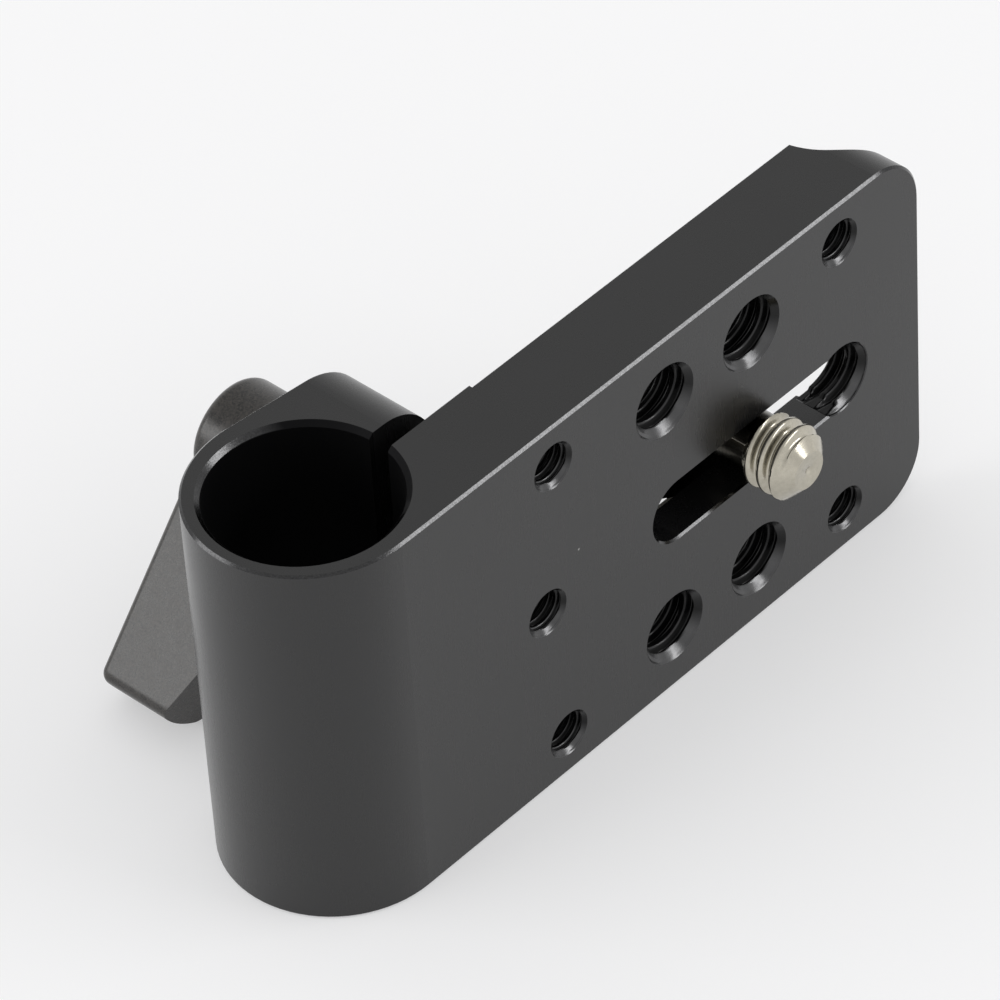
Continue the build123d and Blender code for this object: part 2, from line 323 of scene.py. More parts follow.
class StageSettings(bpy.types.PropertyGroup):
    """Camera, floor and light."""

    lens: FloatProperty(
        name="Lens",
        description="Focal length in millimetres on a sensor 36 mm wide",
        default=242.909,
    )
    azimuth: FloatProperty(
        name="Azimuth",
        description="Direction of the camera round the object",
        default=math.radians(-45.186),
        subtype="ANGLE",
    )
    elevation: FloatProperty(
        name="Elevation",
        description="Height of the camera above the horizon",
        default=math.radians(42.317),
        subtype="ANGLE",
    )
    roll: FloatProperty(
        name="Roll",
        description="Turn of the camera about its own line of sight",
        default=math.radians(-3.864),
        subtype="ANGLE",
    )
    distance: FloatProperty(
        name="Distance",
        description="From the camera to the point it aims at",
        default=0.51355,
        unit="LENGTH",
    )
    aim: FloatVectorProperty(
        name="Aim",
        description="Point that the camera looks at",
        subtype="TRANSLATION",
        size=3,
        default=(0.022488, 0.002324, 0.016922),
    )
    floor_colour: FloatVectorProperty(
        name="Floor colour",
        description="Colour of the table top",
        subtype="COLOR",
        size=3,
        default=(0.62, 0.62, 0.624),
    )
    floor_lift: FloatProperty(
        name="Floor lift",
        description="Light added to the floor where it is seen, straight or in a reflection",
        default=0.56,
    )
    room_light: FloatProperty(
        name="Room light",
        description="Brightness of the even light from above",
        default=0.66,
    )
    horizon_light: FloatProperty(
        name="Horizon light",
        description="Brightness of the even light near the horizon",
        default=1.0,
    )
    left_power: FloatProperty(
        name="Left lamp power",
        description="Power of the wide soft lamp at the back left",
        default=7.0,
        unit="POWER",
    )
    right_power: FloatProperty(
        name="Right lamp power",
        description="Power of the long narrow lamp at the front right",
        default=1.8,
        unit="POWER",
    )


# Shared mesh helpers


def ring_point(centre, radius, y, angle):
    """A point on a circle about an axis along Y through centre (x, z)."""
    return Vector((centre[0] + radius * math.cos(angle), y, centre[1] + radius * math.sin(angle)))


def helix_band(bm, centre, low_y, high_y, pitch, radius_at, columns, turns=(0.0, 1.0)):
    """Adds a band round an axis along Y whose rows follow a right-hand helix."""
    step = pitch / ROWS_PER_TURN
    rows = math.ceil((high_y - low_y) / step) + ROWS_PER_TURN
    first, last = turns
    grid = []
    for row in range(rows + 1):
        line = []
        for column in range(columns + 1):
            turn = first + (last - first) * column / columns
            y = low_y + row * step - pitch * (turn - first)
            y = min(max(y, low_y), high_y)
            phase = ((y - low_y) / pitch + turn) % 1.0
            angle = 2 * math.pi * turn
            line.append(bm.verts.new(ring_point(centre, radius_at(y, phase, angle), y, angle)))
        grid.append(line)
    for below, above in zip(grid, grid[1:]):
        for column in range(columns):
            corners = (below[column], below[column + 1], above[column + 1], above[column])
            bm.faces.new(corners)


def lathe(bm, centre, outline, columns, radius_at=None):
    """Adds a surface turned about an axis along Y from (radius, y) points."""
    lines = []
    for radius, y in outline:
        line = []
        for column in range(columns):
            angle = 2 * math.pi * column / columns
            there = radius_at(radius, angle) if radius_at else radius
            line.append(bm.verts.new(ring_point(centre, there, y, angle)))
        lines.append(line)
    for below, above in zip(lines, lines[1:]):
        for column in range(columns):
            after = (column + 1) % columns
            bm.faces.new((below[column], below[after], above[after], above[column]))


def weld(bm):
    """Joins points that share a place, which also removes faces with no area."""
    bmesh.ops.remove_doubles(bm, verts=bm.verts, dist=WELD_DISTANCE)
    bmesh.ops.dissolve_degenerate(bm, edges=bm.edges, dist=WELD_DISTANCE)


def shade(bm, sharp_angle):
    """Smooth shading, with creases where faces meet at more than the angle."""
    for face in bm.faces:
        face.smooth = True
    for edge in bm.edges:
        edge.smooth = edge.calc_face_angle(0.0) < sharp_angle


def new_piece(context, name, bm, body, material):
    """Turns the mesh into an object that rides on a body of the frame."""
    mesh = bpy.data.meshes.new(name)
    bm.to_mesh(mesh)
    bm.free()
    piece = bpy.data.objects.new(name, mesh)
    context.scene.collection.objects.link(piece)
    mesh.materials.append(material)
    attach(piece, body)
    return piece


def ridge(phase, flat_top, flat_root, softness):
    """Height of a thread's ridge, 0 to 1, at a share of one turn; its middle is at half."""
    away = abs(2.0 * phase - 1.0)
    rise = (1.0 - flat_root - away) / (1.0 - flat_root - flat_top)
    rise = min(max(rise, 0.0), 1.0)
    return rise * rise * (3 - 2 * rise) * softness + rise * (1.0 - softness)


# Shared material helpers


def blank_material(name):
    """A new material with its node tree, its shader and its object coordinates."""
    material = bpy.data.materials.new(name)
    material.use_nodes = True
    tree = material.node_tree
    tree.nodes.clear()
    output = tree.nodes.new("ShaderNodeOutputMaterial")
    shader = tree.nodes.new("ShaderNodeBsdfPrincipled")
    tree.links.new(shader.outputs["BSDF"], output.inputs["Surface"])
    place = tree.nodes.new("ShaderNodeTexCoord")
    return material, tree, shader, place


def noise(tree, place, scale, detail, stretch=None):
    """A noise value from 0 to 1 at object scale, stretched along an axis if asked."""
    source = place.outputs["Object"]
    if stretch:
        mapping = tree.nodes.new("ShaderNodeMapping")
        mapping.inputs["Scale"].default_value = stretch
        tree.links.new(source, mapping.inputs["Vector"])
        source = mapping.outputs["Vector"]
    texture = tree.nodes.new("ShaderNodeTexNoise")
    texture.inputs["Scale"].default_value = scale
    texture.inputs["Detail"].default_value = detail
    tree.links.new(source, texture.inputs["Vector"])
    return texture.outputs["Fac"]


def ranged(tree, value, low, high, to_low, to_high):
    """A value mapped from one range to another, held at its ends."""
    mapped = tree.nodes.new("ShaderNodeMapRange")
    tree.links.new(value, mapped.inputs["Value"])
    mapped.inputs["From Min"].default_value = low
    mapped.inputs["From Max"].default_value = high
    mapped.inputs["To Min"].default_value = to_low
    mapped.inputs["To Max"].default_value = to_high
    return mapped.outputs["Result"]


def sums(tree, kind, first, second):
    """Two values, or a value and a number, put together by one arithmetic step."""
    step = tree.nodes.new("ShaderNodeMath")
    step.operation = kind
    for socket, value in zip(step.inputs, (first, second)):
        if isinstance(value, (int, float)):
            socket.default_value = value
        else:
            tree.links.new(value, socket)
    return step.outputs["Value"]


def product(tree, first, second):
    """Two values, or a value and a number, multiplied."""
    return sums(tree, "MULTIPLY", first, second)


def weighed(tree, first, first_share, second, second_share):
    """Two values added by their shares."""
    return sums(tree, "ADD", product(tree, first, first_share), product(tree, second, second_share))


def blended(tree, share, first, second):
    """One colour turning into another by a share from 0 to 1."""
    mix = tree.nodes.new("ShaderNodeMix")
    mix.data_type = "RGBA"
    tree.links.new(share, mix.inputs["Factor"])
    for socket, value in ((mix.inputs["A"], first), (mix.inputs["B"], second)):
        if isinstance(value, (tuple, list)):
            socket.default_value = (*value, 1.0)
        else:
            tree.links.new(value, socket)
    return mix.outputs["Result"]


def bump(tree, shader, height, distance):
    """Fine relief from a height value."""
    relief = tree.nodes.new("ShaderNodeBump")
    relief.inputs["Strength"].default_value = 1.0
    relief.inputs["Distance"].default_value = distance
    tree.links.new(height, relief.inputs["Height"])
    tree.links.new(relief.outputs["Normal"], shader.inputs["Normal"])


def scaled(colour, factor):
    """A colour made lighter or darker by a factor."""
    return tuple(min(1.0, part * factor) for part in colour)


def dust(tree, place):
    """A few tiny pale specks scattered over a surface."""
    cells = tree.nodes.new("ShaderNodeTexVoronoi")
    cells.inputs["Scale"].default_value = 210.0
    tree.links.new(place.outputs["Object"], cells.inputs["Vector"])
    near = ranged(tree, cells.outputs["Distance"], 0.012, 0.03, 1.0, 0.0)
    parts = tree.nodes.new("ShaderNodeSeparateColor")
    tree.links.new(cells.outputs["Color"], parts.inputs["Color"])
    chosen = sums(tree, "GREATER_THAN", parts.outputs["Red"], 0.80)
    return product(tree, near, chosen)


def within(tree, value, limits):
    """1 where a value lies between two numbers, else 0."""
    low, high = limits
    above = sums(tree, "GREATER_THAN", value, low)
    return product(tree, above, sums(tree, "LESS_THAN", value, high))


def parted(tree, vector):
    """The parts of a vector, by the names X, Y and Z."""
    split = tree.nodes.new("ShaderNodeSeparateXYZ")
    tree.links.new(vector, split.inputs["Vector"])
    return split.outputs


def cut_bevels(tree, place):
    """1 on the narrow bevels round the front face, the slot, the holes and both ends."""
    point = parted(tree, place.outputs["Object"])
    facing = parted(tree, place.outputs["Normal"])
    at_front = sums(tree, "LESS_THAN", point["Y"], PLATE_LOW.y + FRONT_BEVEL)
    front_rim = product(tree, at_front, within(tree, facing["Y"], FRONT_BEVEL_TILT))
    at_top = sums(tree, "GREATER_THAN", point["Z"], PLATE_HIGH.z - END_BEVEL)
    top_rim = product(tree, at_top, within(tree, facing["Z"], TOP_BEVEL_TILT))
    at_bottom = sums(tree, "LESS_THAN", point["Z"], PLATE_LOW.z + END_BEVEL)
    bottom_rim = product(tree, at_bottom, within(tree, facing["Z"], BOTTOM_BEVEL_TILT))
    return sums(tree, "MAXIMUM", front_rim, sums(tree, "MAXIMUM", top_rim, bottom_rim))


def round_z_axis(tree, point, radius):
    """1 nearer to the part's own Z axis than the radius, else 0."""
    x, y = point["X"], point["Y"]
    squares = sums(tree, "ADD", product(tree, x, x), product(tree, y, y))
    return sums(tree, "LESS_THAN", squares, radius * radius)


def deep_in_bore(tree, place):
    """1 inside the rod's bore and on the far side of its chamfers, where no light comes back: where
    the plate gets painted shade.
    """
    point = parted(tree, place.outputs["Object"])
    far_side = ranged(tree, point["X"], *BORE_FAR_SIDE, 0.0, 1.0)
    chamfer = product(tree, round_z_axis(tree, point, BORE_CHAMFER_RADIUS), far_side)
    return sums(tree, "MAXIMUM", round_z_axis(tree, point, BORE_RADIUS), chamfer)


# Finishes


def anodised_black(name, colours, on_plate, roughness):
    """Black anodised aluminium: blasted grain, faint drawn streaks, dust and burnished bevels, and
    on the plate painted shade in the bore.
    """
    material, tree, shader, place = blank_material(name)
    shader.inputs["IOR"].default_value = 1.55
    cloud = noise(tree, place, 160.0, 4.0)
    grain = noise(tree, place, 7000.0, 2.0)
    streaks = noise(tree, place, 1.0, 3.0, stretch=(2600.0, 2600.0, 90.0))
    black = blended(tree, cloud, scaled(colours.anodised, 0.8), scaled(colours.anodised, 1.25))
    uneven = weighed(tree, cloud, 0.6, streaks, 0.4)
    rough = ranged(tree, uneven, 0.3, 0.7, roughness - 0.03, roughness + 0.04)
    if on_plate:
        bevels = cut_bevels(tree, place)
        bore_shade = deep_in_bore(tree, place)
        speckle = ranged(tree, noise(tree, place, 9000.0, 2.0), 0.35, 0.65, 0.8, 1.25)
        bright = tree.nodes.new("ShaderNodeVectorMath")
        bright.operation = "SCALE"
        bright.inputs["Vector"].default_value = tuple(colours.burnished)
        tree.links.new(speckle, bright.inputs["Scale"])
        black = blended(tree, dust(tree, place), black, DUST_COLOUR)
        black = blended(tree, bevels, black, bright.outputs["Vector"])
        # Painted shade: the bore and the far side of its chamfers turn to a near-black metal that
        # reflects little light
        black = blended(tree, bore_shade, black, scaled(colours.anodised, 2.5))
        rough = sums(tree, "SUBTRACT", rough, product(tree, bevels, BEVEL_POLISH))
        rough = sums(tree, "ADD", rough, product(tree, bore_shade, BORE_MATTING))
        tree.links.new(sums(tree, "MAXIMUM", bevels, bore_shade), shader.inputs["Metallic"])
    tree.links.new(black, shader.inputs["Base Color"])
    tree.links.new(rough, shader.inputs["Roughness"])
    bump(tree, shader, weighed(tree, grain, 1.0, streaks, 0.03), 0.000003)
    return material


def thread_black(name, colours):
    """Black anodised thread: satin flanks with fine spots, and a burnished cone at the mouth whose
    brighter metal is kept to the flanks facing the front lamp as a painted glint.
    """
    material, tree, shader, place = blank_material(name)
    shader.inputs["IOR"].default_value = 1.33
    tool_lines = noise(tree, place, 1.0, 2.0, stretch=(700.0, 9000.0, 700.0))
    spots = noise(tree, place, 1300.0, 3.0)
    share = ranged(tree, spots, 0.35, 0.65, 0.0, 1.0)
    black = blended(tree, share, scaled(colours.anodised, 0.5), scaled(colours.anodised, 1.2))
    point = parted(tree, place.outputs["Object"])
    facing = parted(tree, place.outputs["Normal"])
    fade_start, fade_end = (PLATE_LOW.y + depth for depth in WEAR_GLINT_DEPTH)
    near_mouth = ranged(tree, point["Y"], fade_start, fade_end, 1.0, 0.0)
    facing_front = ranged(tree, facing["Y"], *GLINT_FRONT_TILT, 1.0, 0.0)
    facing_up = ranged(tree, facing["Z"], *GLINT_TOP_TILT, 0.0, 1.0)
    # Burnished wear at the mouth, kept to the flanks that face the front lamp, where it is a
    # painted glint
    worn_glint = product(tree, product(tree, near_mouth, facing_front), facing_up)
    black = blended(tree, worn_glint, black, scaled(colours.burnished, 1.8))
    tree.links.new(black, shader.inputs["Base Color"])
    tree.links.new(worn_glint, shader.inputs["Metallic"])
    tree.links.new(ranged(tree, spots, 0.3, 0.7, 0.17, 0.27), shader.inputs["Roughness"])
    bump(tree, shader, tool_lines, 0.000001)
    return material


def powder_coat(name, colours):
    """Black powder coat on a casting: fine pale grains, cloudy patches and a satin sheen."""
    material, tree, shader, place = blank_material(name)
    grains = noise(tree, place, 6500.0, 5.0)
    patches = noise(tree, place, 1500.0, 4.0)
    peel = noise(tree, place, 2600.0, 3.0)
    share = ranged(tree, weighed(tree, grains, 0.75, patches, 0.25), 0.38, 0.64, 0.0, 1.0)
    coat = blended(tree, share, tuple(colours.powder_dark), tuple(colours.powder_light))
    tree.links.new(coat, shader.inputs["Base Color"])
    tree.links.new(ranged(tree, patches, 0.3, 0.7, 0.24, 0.32), shader.inputs["Roughness"])
    bump(tree, shader, weighed(tree, grains, 0.4, peel, 1.0), 0.0000065)
    return material


def turned_metal(name, colour, roughness, along_y, shaded_span=None):
    """Turned metal: fine tool lines round the axis, a little tarnish, and painted shade between two
    planes.
    """
    material, tree, shader, place = blank_material(name)
    shader.inputs["Metallic"].default_value = 1.0
    stretch = (160.0, 9000.0, 160.0) if along_y else (5000.0, 5000.0, 5000.0)
    lines = noise(tree, place, 1.0, 2.0, stretch=stretch)
    tarnish = noise(tree, place, 2600.0, 4.0)
    share = ranged(tree, tarnish, 0.3, 0.75, 0.0, 1.0)
    metal = blended(tree, share, tuple(colour), scaled(colour, 0.86))
    if shaded_span is not None:
        first, last = shaded_span
        y = parted(tree, place.outputs["Object"])["Y"]
        past_first = ranged(tree, y, first - 0.0010, first + 0.0002, 0.0, 1.0)
        before_last = ranged(tree, y, last, last + 0.0003, 1.0, 0.0)
        # Painted shade: between the two planes the metal is darkened to 15 percent
        metal = blended(tree, product(tree, past_first, before_last), metal, scaled(colour, 0.15))
    rough = ranged(tree, tarnish, 0.3, 0.7, roughness - 0.04, roughness + 0.07)
    tree.links.new(metal, shader.inputs["Base Color"])
    tree.links.new(rough, shader.inputs["Roughness"])
    bump(tree, shader, sums(tree, "ADD", lines, tarnish), 0.0000035)
    return material


def finish_node(node_name, material):
    """Gives a solid of the frame its finish."""
    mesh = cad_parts[node_name].data
    mesh.materials.clear()
    mesh.materials.append(material)


# Pieces


class RODCLAMP_OT_plate(bpy.types.Operator):
    """Finish the clamp and its plate in black anodising"""

    bl_idname = "rodclamp.plate"
    bl_label = "Clamp and plate"

    roughness = 0.27

    def execute(self, context):
        colours = context.scene.rodclamp_colours
        black = anodised_black("plate_anodised", colours, True, self.roughness)
        finish_node("clamp_plate", black)
        return {"FINISHED"}


class RODCLAMP_OT_threads(bpy.types.Operator):
    """Line the plate's tapped holes with their turns of thread"""

    bl_idname = "rodclamp.threads"
    bl_label = "Tapped threads"

    first_ridge = 0.32
    flat_top, flat_root, softness = 0.30, 0.16, 0.6
    hole_columns = 72
    slot_columns = 56
    crease = math.radians(50)

    # Axes of the holes as (x, z) of the part's frame
    large_places = (
        (0.02882, 0.0059),
        (0.02882, 0.0291),
        (0.03872, 0.0059),
        (0.03872, 0.0291),
    )
    small_places = (
        (0.0165, 0.0038),
        (0.0165, 0.0312),
        (0.04905, 0.0038),
        (0.04905, 0.0312),
    )
    slot_hole = (0.04885, 0.0175)
    stud_hole = (0.015, 0.0175)

    # The slot's half width, the depth of its narrow part, and where the plate's threads end
    slot_half_width = 0.002775
    slot_land = 0.0033
    plate_back = -0.00183

    def execute(self, context):
        sizes = context.scene.rodclamp_threads
        material = thread_black("thread_anodised", context.scene.rodclamp_colours)
        large = bmesh.new()
        large_sizes = (sizes.large_radius, sizes.large_pitch, sizes.large_height)
        for place in self.large_places:
            self.line_hole(large, sizes, place, large_sizes, self.plate_back)
        self.line_slot_end(large, sizes, large_sizes)
        weld(large)
        shade(large, self.crease)
        new_piece(context, "camera_hole_threads", large, "clamp", material)
        small = bmesh.new()
        small_sizes = (sizes.small_radius, sizes.small_pitch, sizes.small_height)
        for place in self.small_places:
            self.line_hole(small, sizes, place, small_sizes, self.plate_back)
        stud_end = STUD_LOW.y - sizes.wall_gap
        self.line_hole(small, sizes, self.stud_hole, small_sizes, stud_end)
        weld(small)
        shade(small, self.crease)
        new_piece(context, "small_hole_threads", small, "clamp", material)
        return {"FINISHED"}

    def radius_with_cone(self, sizes, thread, phase, y):
        """Radius of a thread's surface, cut back by the cone at the hole's mouth."""
        radius, pitch, height = thread
        wall = radius - sizes.wall_gap
        cone = radius + sizes.countersink - (y - PLATE_LOW.y)
        phase = (phase + self.first_ridge) % 1.0
        there = wall - height * ridge(phase, self.flat_top, self.flat_root, self.softness)
        return min(max(there, cone), max(wall, cone - SKIN))

    def line_hole(self, bm, sizes, place, thread, end_y):
        """Adds the thread of one hole, from its mouth to end_y."""
        start_y = PLATE_LOW.y + SKIN

        def radius_at(y, phase, angle):
            return self.radius_with_cone(sizes, thread, phase, y)

        helix_band(bm, place, start_y, end_y, thread[1], radius_at, self.hole_columns)

    def line_slot_end(self, bm, sizes, thread):
        """Adds the thread of the hole at the slot's end, open where the slot runs into it."""
        wall = thread[0] - sizes.wall_gap
        open_turn = math.asin(self.slot_half_width / wall) / (2 * math.pi)

        def radius_at(y, phase, angle):
            there = self.radius_with_cone(sizes, thread, phase, y)
            if math.cos(angle) < 0:
                there = max(there, self.slot_half_width / abs(math.sin(angle)))
            return min(there, wall)

        start_y = PLATE_LOW.y + sizes.countersink
        end_y = PLATE_LOW.y + self.slot_land
        turns = (open_turn - 0.5, 0.5 - open_turn)
        columns = self.slot_columns
        helix_band(bm, self.slot_hole, start_y, end_y, thread[1], radius_at, columns, turns)


class RODCLAMP_OT_camera_screw(bpy.types.Operator):
    """Make the captive camera screw with its thread, neck and knurled head"""

    bl_idname = "rodclamp.camera_screw"
    bl_label = "Camera screw"

    columns = 160
    crease = math.radians(38)
    flat_top, flat_root, softness = 0.15, 0.0, 0.9
    groove_share = 0.75
    roughness = 0.18

    def execute(self, context):
        sizes = context.scene.rodclamp_screw
        pitch = context.scene.rodclamp_threads.large_pitch
        middle = (SCREW_LOW + SCREW_HIGH) / 2
        centre = (middle.x, middle.z)
        tip = SCREW_LOW.y
        head_back = SCREW_HIGH.y
        head_front = head_back - sizes.head_thickness
        start = tip + sizes.thread_length
        root = sizes.thread_radius - sizes.thread_depth
        tip_radius = sizes.tip_radius
        tip_slope = (sizes.thread_radius - tip_radius) / sizes.tip_length

        def thread_at(y, phase, angle):
            height = ridge(phase, self.flat_top, self.flat_root, self.softness)
            there = root + sizes.thread_depth * height
            there = min(there, tip_radius + (y - tip) * tip_slope)
            return min(there, sizes.neck_radius + (start - y))

        def knurled(radius, angle):
            if radius < rim - sizes.rim_bevel / 2:
                return radius
            share = (angle * sizes.knurl_count / (2 * math.pi)) % 1.0
            groove = max(0.0, 1.0 - abs(2.0 * share - 1.0) / self.groove_share)
            return radius - sizes.knurl_depth * groove

        bm = bmesh.new()
        helix_band(bm, centre, tip, start, pitch, thread_at, self.columns)
        rim = SCREW_HIGH.x - middle.x
        bevel = sizes.rim_bevel
        neck = sizes.neck_radius
        outline = [
            (neck, start),
            (neck, head_front),
            (rim - bevel, head_front),
            (rim, head_front + bevel),
            (rim, head_back - bevel),
            (rim - bevel, head_back),
            (sizes.slot_width, head_back),
            (0.0, head_back),
        ]
        lathe(bm, centre, outline, self.columns, knurled)
        dimple = sizes.dimple_radius
        dimple_depth = dimple * 0.5
        tip_outline = [
            (0.0, tip + dimple_depth),
            (dimple * 0.6, tip + dimple_depth * 0.4),
            (dimple, tip),
            (tip_radius, tip),
        ]
        lathe(bm, centre, tip_outline, self.columns)
        weld(bm)
        bmesh.ops.recalc_face_normals(bm, faces=bm.faces)
        self.cut_driver_slot(context, bm, centre, head_back, sizes)
        shade(bm, self.crease)
        plated = context.scene.rodclamp_colours.plated
        # The neck and the head's front, down in the slot, get painted shade
        shaded_span = (start, head_front + bevel)
        material = turned_metal("screw_plating", plated, self.roughness, True, shaded_span)
        piece = new_piece(
            context, "camera_screw_turned", bm, "captive_screw", material
        )
        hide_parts("camera_screw")
        return {"FINISHED"}

    def cut_driver_slot(self, context, bm, centre, head_back, sizes):
        """Cuts the straight slot for a driver across the back of the head."""
        cutter = bmesh.new()
        long = SCREW_HIGH.x - SCREW_LOW.x + 2 * sizes.slot_width
        size = Matrix.Diagonal((long, 2 * sizes.slot_depth, sizes.slot_width, 1))
        place = Matrix.Translation((centre[0], head_back, centre[1]))
        bmesh.ops.create_cube(cutter, size=1.0, matrix=place @ size)
        tool_mesh = bpy.data.meshes.new("slot_tool")
        cutter.to_mesh(tool_mesh)
        cutter.free()
        blank_mesh = bpy.data.meshes.new("screw_blank")
        bm.to_mesh(blank_mesh)
        tool = bpy.data.objects.new("slot_tool", tool_mesh)
        blank = bpy.data.objects.new("screw_blank", blank_mesh)
        for thing in (tool, blank):
            context.scene.collection.objects.link(thing)
        cut = blank.modifiers.new("slot", "BOOLEAN")
        cut.operation = "DIFFERENCE"
        cut.solver = "EXACT"
        cut.object = tool
        graph = context.evaluated_depsgraph_get()
        result = bpy.data.meshes.new_from_object(blank.evaluated_get(graph))
        if len(result.polygons) <= len(blank_mesh.polygons) // 2:
            raise RuntimeError("the driver slot could not be cut")
        bm.clear()
        bm.from_mesh(result)
        for thing in (tool, blank):
            bpy.data.objects.remove(thing)
        for mesh in (tool_mesh, blank_mesh, result):
            bpy.data.meshes.remove(mesh)


class RODCLAMP_OT_lever(bpy.types.Operator):
    """Finish the lever and its small steel pieces, and wind its return spring"""

    bl_idname = "rodclamp.lever"
    bl_label = "Ratchet lever"

    stud_roughness = 0.3
    washer_roughness = 0.34
    spring_roughness = 0.26
    screw_roughness = 0.3
    spring_shade = 0.8

    # The spring's wire and turns, and how far the lifted handle presses it together
    wire_radius = 0.00024
    wire_sides = 10
    turns = 3.5
    steps_per_turn = 48
    crease = math.radians(50)
    lift = 0.0026

    def execute(self, context):
        colours = context.scene.rodclamp_colours
        steel = colours.steel
        finish_node("lever_handle", powder_coat("lever_powder_coat", colours))
        stud_steel = turned_metal("stud_steel", steel, self.stud_roughness, True)
        finish_node("lever_stud", stud_steel)
        washer_steel = turned_metal("washer_steel", steel, self.washer_roughness, True)
        finish_node("thrust_washer", washer_steel)
        wire_colour = scaled(steel, self.spring_shade)
        spring_steel = turned_metal("spring_steel", wire_colour, self.spring_roughness, False)
        self.wind_spring(context, spring_steel)
        oxide = anodised_black("screw_black_oxide", colours, False, self.screw_roughness)
        finish_node("lever_screw", oxide)
        return {"FINISHED"}

    def wind_spring(self, context, material):
        """Winds the return spring from round wire."""
        middle = (SPRING_LOW + SPRING_HIGH) / 2
        coil_radius = (SPRING_HIGH.x - SPRING_LOW.x) / 2 - self.wire_radius
        low = SPRING_LOW.y + self.wire_radius
        height = SPRING_HIGH.y - self.wire_radius - low
        steps = round(self.turns * self.steps_per_turn)
        along = Vector((0.0, 1.0, 0.0))
        bm = bmesh.new()
        rings = []
        for step in range(steps + 1):
            angle = 2 * math.pi * step / self.steps_per_turn
            outward = Vector((math.cos(angle), 0.0, math.sin(angle)))
            centre = Vector((middle.x, low + height * step / steps, middle.z))
            centre += coil_radius * outward
            ring = []
            for side in range(self.wire_sides):
                turn = 2 * math.pi * side / self.wire_sides
                across = math.cos(turn) * outward + math.sin(turn) * along
                ring.append(bm.verts.new(centre + self.wire_radius * across))
            rings.append(ring)
        for before, after in zip(rings, rings[1:]):
            for side in range(self.wire_sides):
                beside = (side + 1) % self.wire_sides
                bm.faces.new((before[side], before[beside], after[beside], after[side]))
        bm.faces.new(rings[0])
        bm.faces.new(rings[-1])
        bmesh.ops.recalc_face_normals(bm, faces=bm.faces)
        shade(bm, self.crease)
        piece = new_piece(context, "lever_spring_coil", bm, "stud", material)
        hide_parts("lever_spring")
        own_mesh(piece)


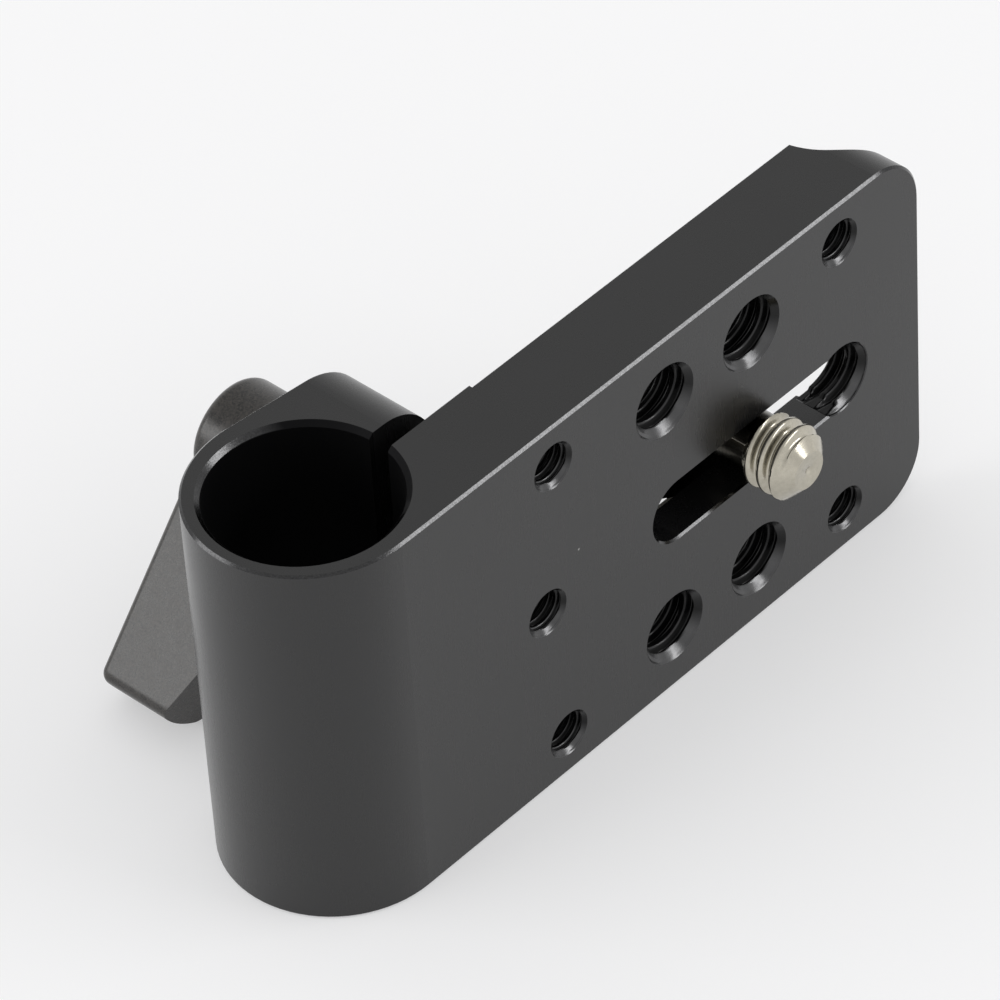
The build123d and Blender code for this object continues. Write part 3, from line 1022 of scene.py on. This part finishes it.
class RODCLAMP_OT_stage(bpy.types.Operator):
    """Set up the pale floor, the soft light and the camera"""

    bl_idname = "rodclamp.stage"
    bl_label = "Stage"

    floor_half_size = 1.5
    left_size = (1.2, 0.6)
    left_place = (-1.06, 0.75, 0.52)
    right_size = (0.62, 0.12)
    right_place = (0.47, -0.6, 0.47)
    sensor_width = 36.0

    def execute(self, context):
        settings = context.scene.rodclamp_stage
        left, right = settings.left_power, settings.right_power
        self.make_floor(context, settings)
        self.make_world(context, settings)
        self.make_lamp(context, settings, "left_lamp", left, self.left_size, self.left_place)
        self.make_lamp(context, settings, "right_lamp", right, self.right_size, self.right_place)
        self.make_camera(context, settings)
        context.scene.view_settings.view_transform = "Standard"
        return {"FINISHED"}

    def make_floor(self, context, settings):
        """Lays a pale table top under the object."""
        half = self.floor_half_size
        bm = bmesh.new()
        corners = ((-half, -half), (half, -half), (half, half), (-half, half))
        bm.faces.new([bm.verts.new((x, y, 0.0)) for x, y in corners])
        mesh = bpy.data.meshes.new("floor")
        bm.to_mesh(mesh)
        bm.free()
        floor = bpy.data.objects.new("floor", mesh)
        context.scene.collection.objects.link(floor)
        floor.location.z = CAD_BOX[0].z
        material, tree, shader, place = blank_material("floor_white")
        cloud = noise(tree, place, 3.0, 2.0)
        colour = settings.floor_colour
        pale = blended(tree, cloud, scaled(colour, 0.985), scaled(colour, 1.01))
        tree.links.new(pale, shader.inputs["Base Color"])
        shader.inputs["Roughness"].default_value = 0.55
        shader.inputs["Specular IOR Level"].default_value = 0.2
        self.lift_floor(tree, shader, settings)
        mesh.materials.append(material)

    def lift_floor(self, tree, shader, settings):
        """Shows the floor as a little brighter than it is lit, so that it stays white."""
        shown = tree.nodes.new("ShaderNodeEmission")
        shown.inputs["Color"].default_value = (*settings.floor_colour, 1.0)
        shown.inputs["Strength"].default_value = settings.floor_lift
        rays = tree.nodes.new("ShaderNodeLightPath").outputs
        seen = sums(tree, "MAXIMUM", rays["Is Camera Ray"], rays["Is Glossy Ray"])
        seen = sums(tree, "MAXIMUM", seen, rays["Is Transmission Ray"])
        added = tree.nodes.new("ShaderNodeAddShader")
        mix = tree.nodes.new("ShaderNodeMixShader")
        output = next(node for node in tree.nodes if node.type == "OUTPUT_MATERIAL")
        tree.links.new(shader.outputs["BSDF"], added.inputs[0])
        tree.links.new(shown.outputs["Emission"], added.inputs[1])
        tree.links.new(seen, mix.inputs["Fac"])
        tree.links.new(shader.outputs["BSDF"], mix.inputs[1])
        tree.links.new(added.outputs["Shader"], mix.inputs[2])
        tree.links.new(mix.outputs["Shader"], output.inputs["Surface"])

    def make_world(self, context, settings):
        """Adds even light from all round, a little brighter towards the horizon."""
        world = bpy.data.worlds.new("studio")
        context.scene.world = world
        world.use_nodes = True
        tree = world.node_tree
        tree.nodes.clear()
        output = tree.nodes.new("ShaderNodeOutputWorld")
        light = tree.nodes.new("ShaderNodeBackground")
        light.inputs["Color"].default_value = (1.0, 1.0, 1.0, 1.0)
        direction = tree.nodes.new("ShaderNodeTexCoord")
        height = parted(tree, direction.outputs["Generated"])["Z"]
        even = ranged(tree, height, 0.0, 0.8, settings.horizon_light, settings.room_light)
        tree.links.new(even, light.inputs["Strength"])
        tree.links.new(light.outputs["Background"], output.inputs["Surface"])

    def make_lamp(self, context, settings, name, power, size, location):
        """Adds a soft rectangular lamp that points at the object."""
        lamp_data = bpy.data.lights.new(name, "AREA")
        lamp_data.shape = "RECTANGLE"
        lamp_data.size, lamp_data.size_y = size
        lamp_data.energy = power
        lamp = bpy.data.objects.new(name, lamp_data)
        context.scene.collection.objects.link(lamp)
        lamp.location = location
        toward = Vector(settings.aim) - lamp.location
        lamp.rotation_euler = toward.to_track_quat("-Z", "Y").to_euler()

    def make_camera(self, context, settings):
        """Places the camera by its angles and its distance from the point it aims at."""
        camera_data = bpy.data.cameras.new("camera")
        camera = bpy.data.objects.new("camera", camera_data)
        context.scene.collection.objects.link(camera)
        context.scene.camera = camera
        camera_data.sensor_width = self.sensor_width
        camera_data.lens = settings.lens
        camera_data.clip_start = 0.02
        camera_data.clip_end = 20.0
        azimuth, elevation = settings.azimuth, settings.elevation
        back = Vector(
            (
                math.sin(azimuth) * math.cos(elevation),
                -math.cos(azimuth) * math.cos(elevation),
                math.sin(elevation),
            )
        )
        right = Vector((math.cos(azimuth), math.sin(azimuth), 0.0))
        up = back.cross(right)
        turned_right = math.cos(settings.roll) * right + math.sin(settings.roll) * up
        turned_up = -math.sin(settings.roll) * right + math.cos(settings.roll) * up
        spin = Matrix((turned_right, turned_up, back)).transposed()
        place = Vector(settings.aim) + settings.distance * back
        camera.matrix_world = Matrix.Translation(place) @ spin.to_4x4()


class RODCLAMP_PT_pieces(bpy.types.Panel):
    """Pieces of the rod clamp and their settings"""

    bl_idname = "RODCLAMP_PT_pieces"
    bl_label = "Rod clamp cheese plate"
    bl_space_type = "VIEW_3D"
    bl_region_type = "UI"
    bl_category = "Rod clamp"

    def draw(self, context):
        layout = self.layout
        for operator in PIECE_OPERATORS:
            layout.operator(operator.bl_idname)
        for group_name in PROPERTY_GROUPS:
            group = getattr(context.scene, group_name)
            box = layout.box()
            for name in group.__annotations__:
                box.prop(group, name)


PROPERTY_GROUPS = {
    "rodclamp_threads": ThreadSizes,
    "rodclamp_screw": ScrewSizes,
    "rodclamp_colours": MetalColours,
    "rodclamp_stage": StageSettings,
}
PIECE_OPERATORS = (
    RODCLAMP_OT_plate,
    RODCLAMP_OT_threads,
    RODCLAMP_OT_camera_screw,
    RODCLAMP_OT_lever,
    RODCLAMP_OT_stage,
)


def register():
    for group in PROPERTY_GROUPS.values():
        bpy.utils.register_class(group)
    for name, group in PROPERTY_GROUPS.items():
        setattr(bpy.types.Scene, name, PointerProperty(type=group))
    for operator in PIECE_OPERATORS:
        bpy.utils.register_class(operator)
    bpy.utils.register_class(RODCLAMP_PT_pieces)


def unregister():
    bpy.utils.unregister_class(RODCLAMP_PT_pieces)
    for operator in reversed(PIECE_OPERATORS):
        bpy.utils.unregister_class(operator)
    for name in PROPERTY_GROUPS:
        delattr(bpy.types.Scene, name)
    for group in reversed(PROPERTY_GROUPS.values()):
        bpy.utils.unregister_class(group)


def main():
    register()
    bpy.ops.rodclamp.plate()
    bpy.ops.rodclamp.threads()
    bpy.ops.rodclamp.camera_screw()
    bpy.ops.rodclamp.lever()
    bpy.ops.rodclamp.stage()


if __name__ == "__main__":
    main()
